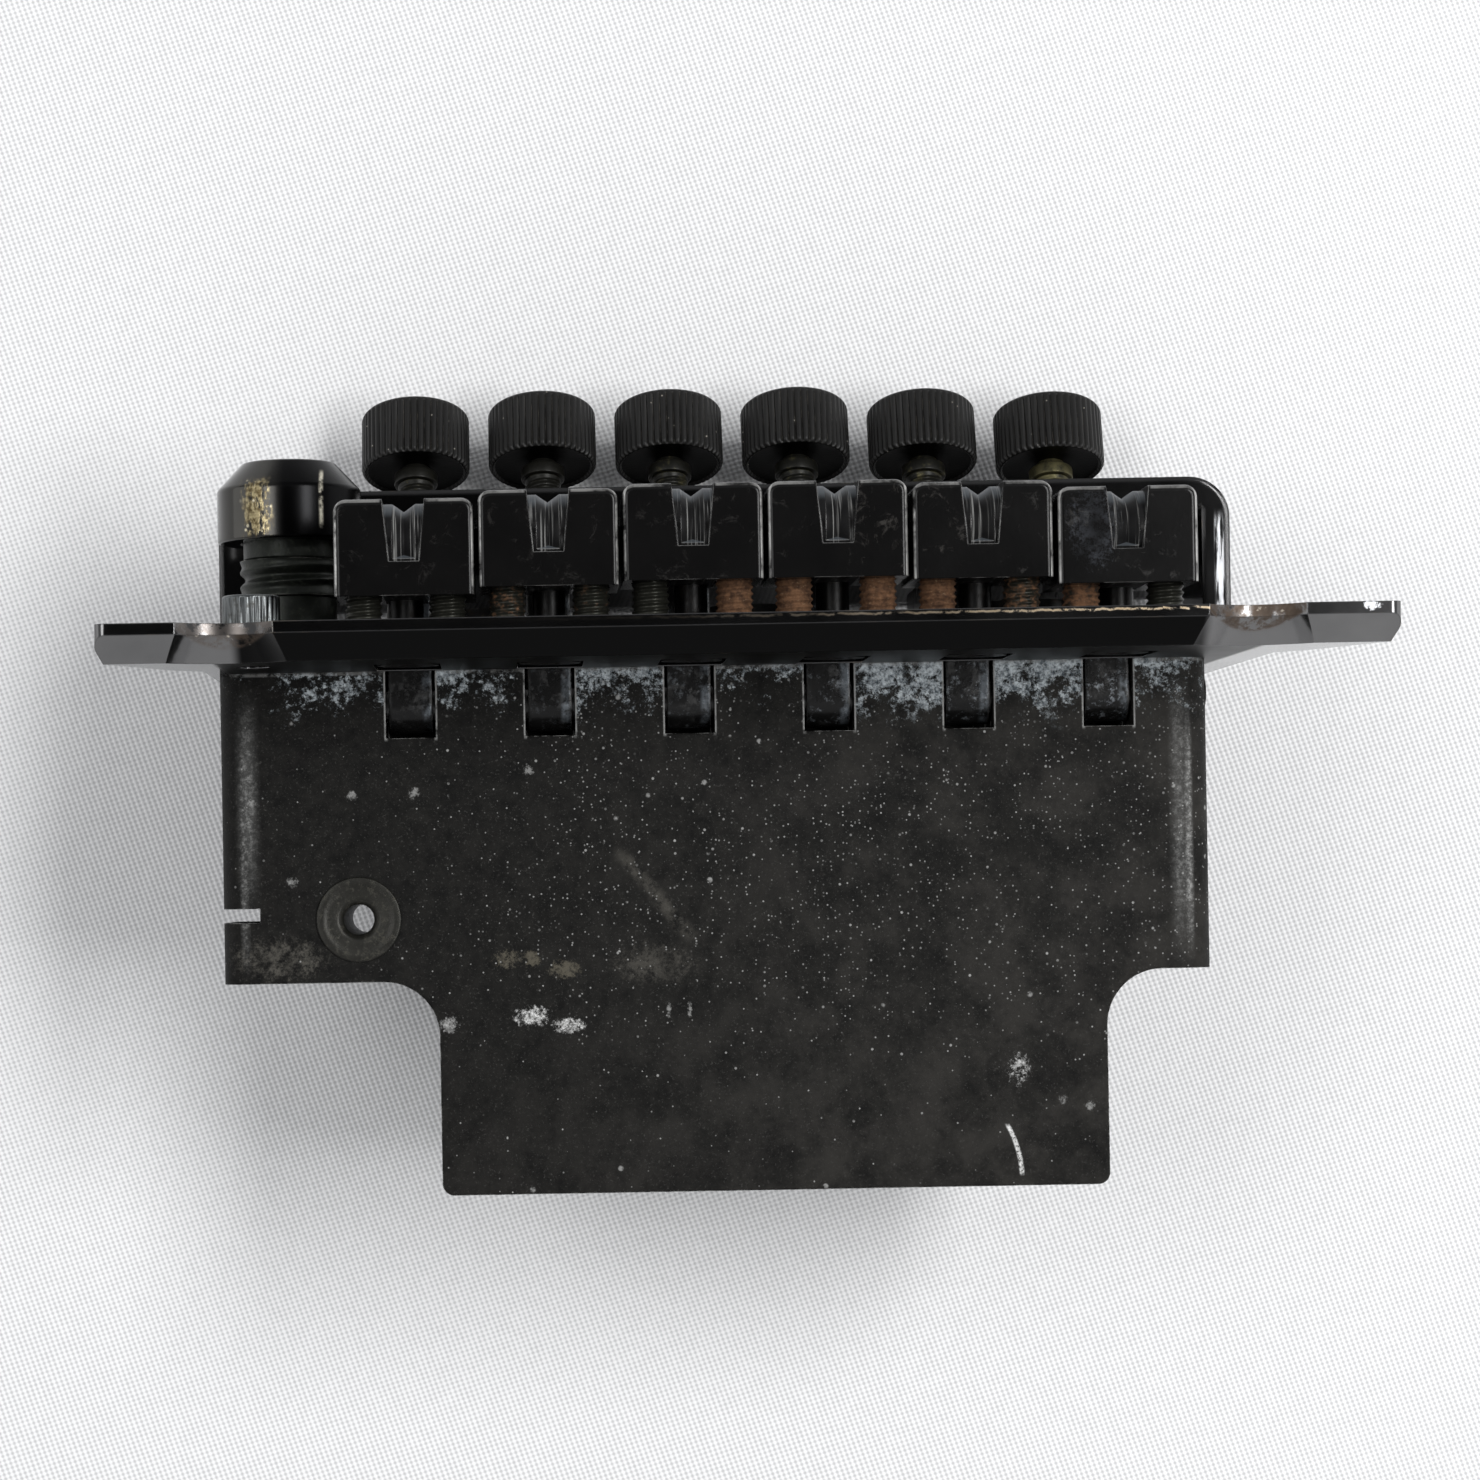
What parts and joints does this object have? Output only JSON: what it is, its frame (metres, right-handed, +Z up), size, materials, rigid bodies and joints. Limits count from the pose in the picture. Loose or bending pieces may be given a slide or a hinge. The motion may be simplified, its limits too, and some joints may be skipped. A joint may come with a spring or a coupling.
{
  "type": "guitar tremolo bridge",
  "caption": "Floating guitar tremolo bridge: knife-edge plate with adjustable string saddles, lever-driven fine tuners, an arm collar and a stepped inertia block beneath.",
  "frame": {"origin": "middle of the line through the two knife edges, level with the plate's upper face", "axes": "+X along the knife edges to the bass side, +Y to the rear of the guitar, +Z up from its top"},
  "size_m": [0.0936, 0.0509, 0.0645],
  "materials": {
    "plate": "black chrome, glossy, worn along the front edge",
    "block": "matte charcoal casting with pale specks",
    "saddle": "satin black plating, worn silver at the edges",
    "height_screw": "dark steel with orange rust",
    "lever": "black plating, worn",
    "spring": "bare spring steel",
    "stud": "black plating worn to brass on the thread",
    "knob": "satin black knurl",
    "collar": "gloss black, worn to gold at one side",
    "socket": "black plating",
    "bushing": "plain",
    "cap_screw": "bright steel, knurled",
    "fastener": "black oxide",
    "rivet": "dark, worn rim",
    "shaft": "ground"
  },
  "bodies": {
    "base": {"base_plate": "plate", "sustain_block": "block", "block_screws": "fastener", "block_rivet": "rivet", "lever_shaft": "shaft", "shaft_plug": "fastener", "arm_socket": "socket", "arm_clamp_screw": "cap_screw", "spring_screws": "fastener", "lever_spring_1": "spring", "lever_spring_2": "spring", "lever_spring_3": "spring", "lever_spring_4": "spring", "lever_spring_5": "spring", "lever_spring_6": "spring"},
    "arm_bushing": {"arm_bushing": "bushing"},
    "arm_collar": {"arm_collar": "collar"},
    "saddle_feet_1": {"height_screws_1": "height_screw", "lock_screw_1": "fastener"},
    "saddle_1": {"saddle_1": "saddle"},
    "stud_1": {"tuner_stud_1": "stud"},
    "knob_1": {"tuner_knob_1": "knob"},
    "lever_1": {"string_lever_1": "lever"},
    "saddle_feet_2": {"height_screws_2": "height_screw", "lock_screw_2": "fastener"},
    "saddle_2": {"saddle_2": "saddle"},
    "stud_2": {"tuner_stud_2": "stud"},
    "knob_2": {"tuner_knob_2": "knob"},
    "lever_2": {"string_lever_2": "lever"},
    "saddle_feet_3": {"height_screws_3": "height_screw", "lock_screw_3": "fastener"},
    "saddle_3": {"saddle_3": "saddle"},
    "stud_3": {"tuner_stud_3": "stud"},
    "knob_3": {"tuner_knob_3": "knob"},
    "lever_3": {"string_lever_3": "lever"},
    "saddle_feet_4": {"height_screws_4": "height_screw", "lock_screw_4": "fastener"},
    "saddle_4": {"saddle_4": "saddle"},
    "stud_4": {"tuner_stud_4": "stud"},
    "knob_4": {"tuner_knob_4": "knob"},
    "lever_4": {"string_lever_4": "lever"},
    "saddle_feet_5": {"height_screws_5": "height_screw", "lock_screw_5": "fastener"},
    "saddle_5": {"saddle_5": "saddle"},
    "stud_5": {"tuner_stud_5": "stud"},
    "knob_5": {"tuner_knob_5": "knob"},
    "lever_5": {"string_lever_5": "lever"},
    "saddle_feet_6": {"height_screws_6": "height_screw", "lock_screw_6": "fastener"},
    "saddle_6": {"saddle_6": "saddle"},
    "stud_6": {"tuner_stud_6": "stud"},
    "knob_6": {"tuner_knob_6": "knob"},
    "lever_6": {"string_lever_6": "lever"}
  },
  "joints": [
    {"name": "saddle_1_intonation", "type": "slide", "parent": "base", "child": "saddle_feet_1", "axis": [0, 1, 0], "range_m": [-0.0015, 0.0015]},
    {"name": "saddle_1_height", "type": "slide", "parent": "saddle_feet_1", "child": "saddle_1", "axis": [0, 0, 1], "range_m": [-0.0006, 0.0008]},
    {"name": "stud_1_thread", "type": "slide", "parent": "base", "child": "stud_1", "axis": [0, -0.342, -0.9397], "range_m": [-0.0015, 0.0009]},
    {"name": "knob_1_turn", "type": "hinge", "parent": "stud_1", "child": "knob_1", "pos_m": [-0.0242, 0.0393, 0.00477], "axis": [0, -0.342, -0.9397], "range_deg": [-910, 546.4]},
    {"name": "lever_1_rock", "type": "hinge", "parent": "base", "child": "lever_1", "pos_m": [-0.0242, 0.01745, -0.0054], "axis": [1, 0, 0], "range_deg": [-2.24, 3.73], "deforming": ["lever_spring_1"]},
    {"name": "saddle_2_intonation", "type": "slide", "parent": "base", "child": "saddle_feet_2", "axis": [0, 1, 0], "range_m": [-0.0015, 0.0015]},
    {"name": "saddle_2_height", "type": "slide", "parent": "saddle_feet_2", "child": "saddle_2", "axis": [0, 0, 1], "range_m": [-0.0006, 0.0008]},
    {"name": "stud_2_thread", "type": "slide", "parent": "base", "child": "stud_2", "axis": [0, -0.342, -0.9397], "range_m": [-0.0012, 0.0012]},
    {"name": "knob_2_turn", "type": "hinge", "parent": "stud_2", "child": "knob_2", "pos_m": [-0.0136, 0.0394, 0.00505], "axis": [0, -0.342, -0.9397], "range_deg": [-728.2, 728.2]},
    {"name": "lever_2_rock", "type": "hinge", "parent": "base", "child": "lever_2", "pos_m": [-0.0136, 0.01745, -0.0054], "axis": [1, 0, 0], "range_deg": [-2.98, 2.98], "deforming": ["lever_spring_2"]},
    {"name": "saddle_3_intonation", "type": "slide", "parent": "base", "child": "saddle_feet_3", "axis": [0, 1, 0], "range_m": [-0.0015, 0.0015]},
    {"name": "saddle_3_height", "type": "slide", "parent": "saddle_feet_3", "child": "saddle_3", "axis": [0, 0, 1], "range_m": [-0.0006, 0.0008]},
    {"name": "stud_3_thread", "type": "slide", "parent": "base", "child": "stud_3", "axis": [0, -0.342, -0.9397], "range_m": [-0.00125, 0.00115]},
    {"name": "knob_3_turn", "type": "hinge", "parent": "stud_3", "child": "knob_3", "pos_m": [-0.003, 0.03938, 0.005], "axis": [0, -0.342, -0.9397], "range_deg": [-758.5, 697.9]},
    {"name": "lever_3_rock", "type": "hinge", "parent": "base", "child": "lever_3", "pos_m": [-0.003, 0.01745, -0.0054], "axis": [1, 0, 0], "range_deg": [-2.86, 3.11], "deforming": ["lever_spring_3"]},
    {"name": "saddle_4_intonation", "type": "slide", "parent": "base", "child": "saddle_feet_4", "axis": [0, 1, 0], "range_m": [-0.0015, 0.0015]},
    {"name": "saddle_4_height", "type": "slide", "parent": "saddle_feet_4", "child": "saddle_4", "axis": [0, 0, 1], "range_m": [-0.0006, 0.0008]},
    {"name": "stud_4_thread", "type": "slide", "parent": "base", "child": "stud_4", "axis": [0, -0.342, -0.9397], "range_m": [-0.00125, 0.00115]},
    {"name": "knob_4_turn", "type": "hinge", "parent": "stud_4", "child": "knob_4", "pos_m": [0.0076, 0.03938, 0.005], "axis": [0, -0.342, -0.9397], "range_deg": [-758.5, 697.9]},
    {"name": "lever_4_rock", "type": "hinge", "parent": "base", "child": "lever_4", "pos_m": [0.0076, 0.01745, -0.0054], "axis": [1, 0, 0], "range_deg": [-2.86, 3.11], "deforming": ["lever_spring_4"]},
    {"name": "saddle_5_intonation", "type": "slide", "parent": "base", "child": "saddle_feet_5", "axis": [0, 1, 0], "range_m": [-0.0015, 0.0015]},
    {"name": "saddle_5_height", "type": "slide", "parent": "saddle_feet_5", "child": "saddle_5", "axis": [0, 0, 1], "range_m": [-0.0006, 0.0008]},
    {"name": "stud_5_thread", "type": "slide", "parent": "base", "child": "stud_5", "axis": [0, -0.342, -0.9397], "range_m": [-0.0016, 0.0008]},
    {"name": "knob_5_turn", "type": "hinge", "parent": "stud_5", "child": "knob_5", "pos_m": [0.0182, 0.03926, 0.00467], "axis": [0, -0.342, -0.9397], "range_deg": [-970.6, 485.8]},
    {"name": "lever_5_rock", "type": "hinge", "parent": "base", "child": "lever_5", "pos_m": [0.0182, 0.01745, -0.0054], "axis": [1, 0, 0], "range_deg": [-1.99, 3.97], "deforming": ["lever_spring_5"]},
    {"name": "saddle_6_intonation", "type": "slide", "parent": "base", "child": "saddle_feet_6", "axis": [0, 1, 0], "range_m": [-0.0015, 0.0015]},
    {"name": "saddle_6_height", "type": "slide", "parent": "saddle_feet_6", "child": "saddle_6", "axis": [0, 0, 1], "range_m": [-0.0006, 0.0008]},
    {"name": "stud_6_thread", "type": "slide", "parent": "base", "child": "stud_6", "axis": [0, -0.342, -0.9397], "range_m": [-0.0021, 0.0003]},
    {"name": "knob_6_turn", "type": "hinge", "parent": "stud_6", "child": "knob_6", "pos_m": [0.0288, 0.03909, 0.0042], "axis": [0, -0.342, -0.9397], "range_deg": [-1273.6, 182.8]},
    {"name": "lever_6_rock", "type": "hinge", "parent": "base", "child": "lever_6", "pos_m": [0.0288, 0.01745, -0.0054], "axis": [1, 0, 0], "range_deg": [-0.75, 5.21], "deforming": ["lever_spring_6"]},
    {"name": "collar_thread", "type": "slide", "parent": "base", "child": "arm_bushing", "axis": [0, 0, 1], "range_m": [0, 0.0015]},
    {"name": "collar_turn", "type": "hinge", "parent": "arm_bushing", "child": "arm_collar", "pos_m": [-0.03345, 0.02, 0.0075], "axis": [0, 0, 1], "range_deg": [-1, 546]}
  ],
  "couplings": [
    {"joint": "knob_1_turn", "follows": "stud_1_thread", "rad_per_m": 10472},
    {"joint": "lever_1_rock", "follows": "stud_1_thread", "rad_per_m": -42.811},
    {"joint": "knob_2_turn", "follows": "stud_2_thread", "rad_per_m": 10472},
    {"joint": "lever_2_rock", "follows": "stud_2_thread", "rad_per_m": -42.811},
    {"joint": "knob_3_turn", "follows": "stud_3_thread", "rad_per_m": 10472},
    {"joint": "lever_3_rock", "follows": "stud_3_thread", "rad_per_m": -42.811},
    {"joint": "knob_4_turn", "follows": "stud_4_thread", "rad_per_m": 10472},
    {"joint": "lever_4_rock", "follows": "stud_4_thread", "rad_per_m": -42.811},
    {"joint": "knob_5_turn", "follows": "stud_5_thread", "rad_per_m": 10472},
    {"joint": "lever_5_rock", "follows": "stud_5_thread", "rad_per_m": -42.811},
    {"joint": "knob_6_turn", "follows": "stud_6_thread", "rad_per_m": 10472},
    {"joint": "lever_6_rock", "follows": "stud_6_thread", "rad_per_m": -42.811},
    {"joint": "collar_turn", "follows": "collar_thread", "rad_per_m": 6283.2}
  ]
}
